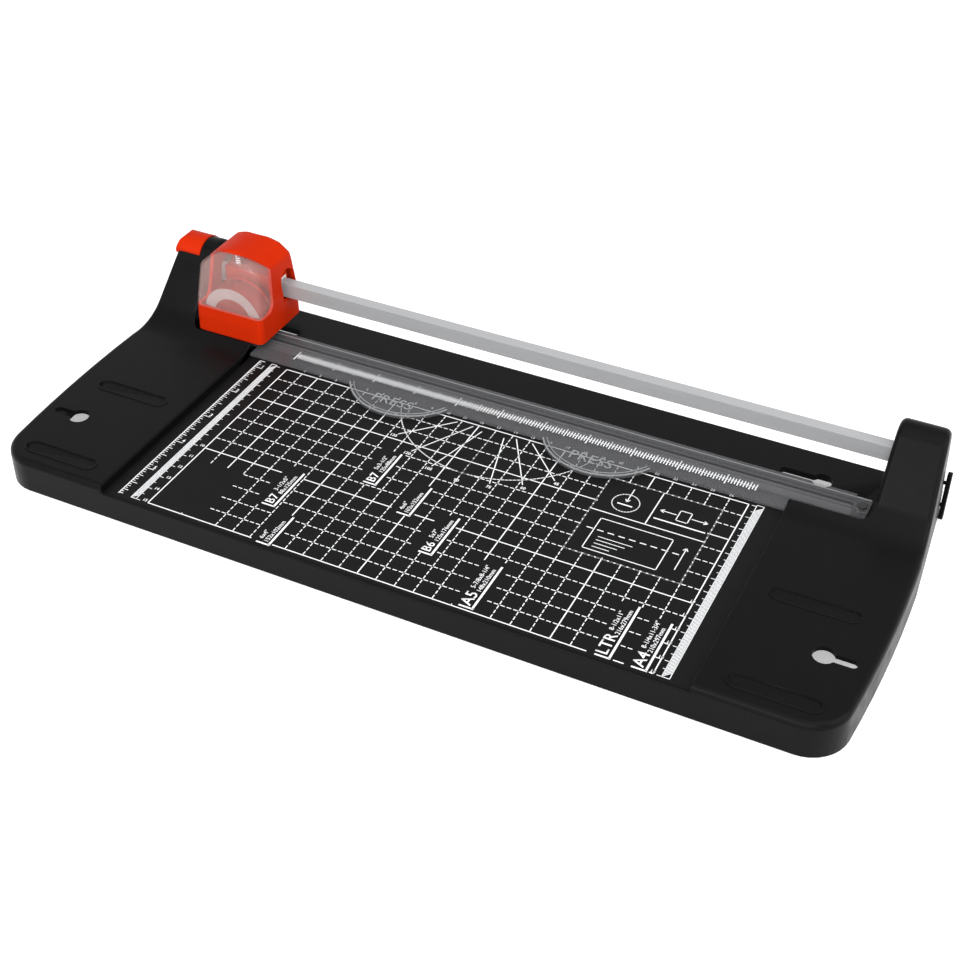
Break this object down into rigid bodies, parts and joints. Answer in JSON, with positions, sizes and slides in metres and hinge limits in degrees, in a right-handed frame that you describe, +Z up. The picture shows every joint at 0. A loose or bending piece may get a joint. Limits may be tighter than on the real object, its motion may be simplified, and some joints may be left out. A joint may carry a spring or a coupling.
{
  "type": "rotary paper cutter",
  "caption": "Desktop rotary paper cutter: flat printed base with end wings, a rail between two towers, a sliding press-down blade head and a clear paper guard.",
  "frame": {"origin": "middle of the footprint, on the table under the feet", "axes": "+X along the rail to the right of the user, +Y away from the user to the rear, +Z up"},
  "size_m": [0.4584, 0.1906, 0.0715],
  "materials": {
    "base_plastic": "fine-grained matt black moulding",
    "panel_print": "satin black with white print",
    "strip_plastic": "satin dark grey",
    "foot_rubber": "matt",
    "rail_metal": "satin anodised",
    "inner_plastic": "matt black moulding",
    "steel_parts": "zinc plated",
    "spring_steel": "plain wire",
    "liner_plastic": "natural white",
    "clear_plastic": "clear polished",
    "cover_grey": "smoked grey, polished",
    "orange_plastic": "satin red-orange",
    "blade_steel": "ground"
  },
  "bodies": {
    "base": {"bed_shell": "base_plastic", "end_shell_left": "base_plastic", "end_shell_right": "base_plastic", "rib_frame": "inner_plastic", "joint_screws_left": "steel_parts", "joint_screws_right": "steel_parts", "scale_panel": "panel_print", "cutting_strip": "strip_plastic", "foot_front_left": "foot_rubber", "foot_front_mid": "foot_rubber", "foot_front_right": "foot_rubber", "foot_rear_left": "foot_rubber", "foot_rear_mid": "foot_rubber", "foot_rear_right": "foot_rubber", "rail": "rail_metal", "rail_post_left": "inner_plastic", "rail_post_right": "inner_plastic", "rail_screw_left": "steel_parts", "rail_screw_right": "steel_parts", "post_screws_left": "steel_parts", "post_screws_right": "steel_parts", "side_clip_left": "base_plastic", "side_clip_right": "base_plastic", "guard_pin_left": "steel_parts", "guard_pin_right": "steel_parts", "guard_spring_left": "spring_steel", "guard_spring_right": "spring_steel", "bolt_guide": "inner_plastic", "button_spring": "spring_steel"},
    "guard": {"guard_strip": "clear_plastic"},
    "carriage": {"carriage_block": "inner_plastic", "rail_liner_left": "liner_plastic", "rail_liner_right": "liner_plastic", "press_post_left": "steel_parts", "press_post_right": "steel_parts", "press_spring_left": "spring_steel", "press_spring_right": "spring_steel"},
    "head": {"head_shell": "orange_plastic", "head_window": "clear_plastic", "head_chassis": "inner_plastic", "blade_guard": "cover_grey", "blade_axle": "steel_parts", "axle_clip": "steel_parts"},
    "blade": {"blade_wheel": "blade_steel", "blade_hub": "inner_plastic", "blade_clamp": "inner_plastic"},
    "button": {"lock_button": "orange_plastic"},
    "bolt": {"lock_bolt": "steel_parts"}
  },
  "joints": [
    {"name": "carriage_slide", "type": "slide", "parent": "base", "child": "carriage", "axis": [1, 0, 0], "range_m": [0, 0.3448]},
    {"name": "head_press", "type": "slide", "parent": "carriage", "child": "head", "axis": [0, 0, -1], "range_m": [0, 0.0024], "stiffness_N_per_m": 800, "springref_m": -0.002, "deforming": ["press_spring_left", "press_spring_right"]},
    {"name": "blade_spin", "type": "hinge", "parent": "head", "child": "blade", "pos_m": [-0.17245, 0.059, 0.0326], "axis": [0, 1, 0], "continuous": true},
    {"name": "guard_press", "type": "slide", "parent": "base", "child": "guard", "axis": [0, 0, -1], "range_m": [0, 0.0008], "stiffness_N_per_m": 600, "springref_m": -0.002, "deforming": ["guard_spring_left", "guard_spring_right"]},
    {"name": "button_press", "type": "slide", "parent": "base", "child": "button", "axis": [0, 0, -1], "range_m": [0, 0.0025], "stiffness_N_per_m": 400, "springref_m": -0.002, "deforming": ["button_spring"]},
    {"name": "bolt_slide", "type": "slide", "parent": "base", "child": "bolt", "axis": [1, 0, 0], "range_m": [0, 0.005]}
  ],
  "couplings": [
    {"joint": "guard_press", "follows": "head_press", "ratio": 0.3333},
    {"joint": "bolt_slide", "follows": "button_press", "ratio": 2}
  ]
}
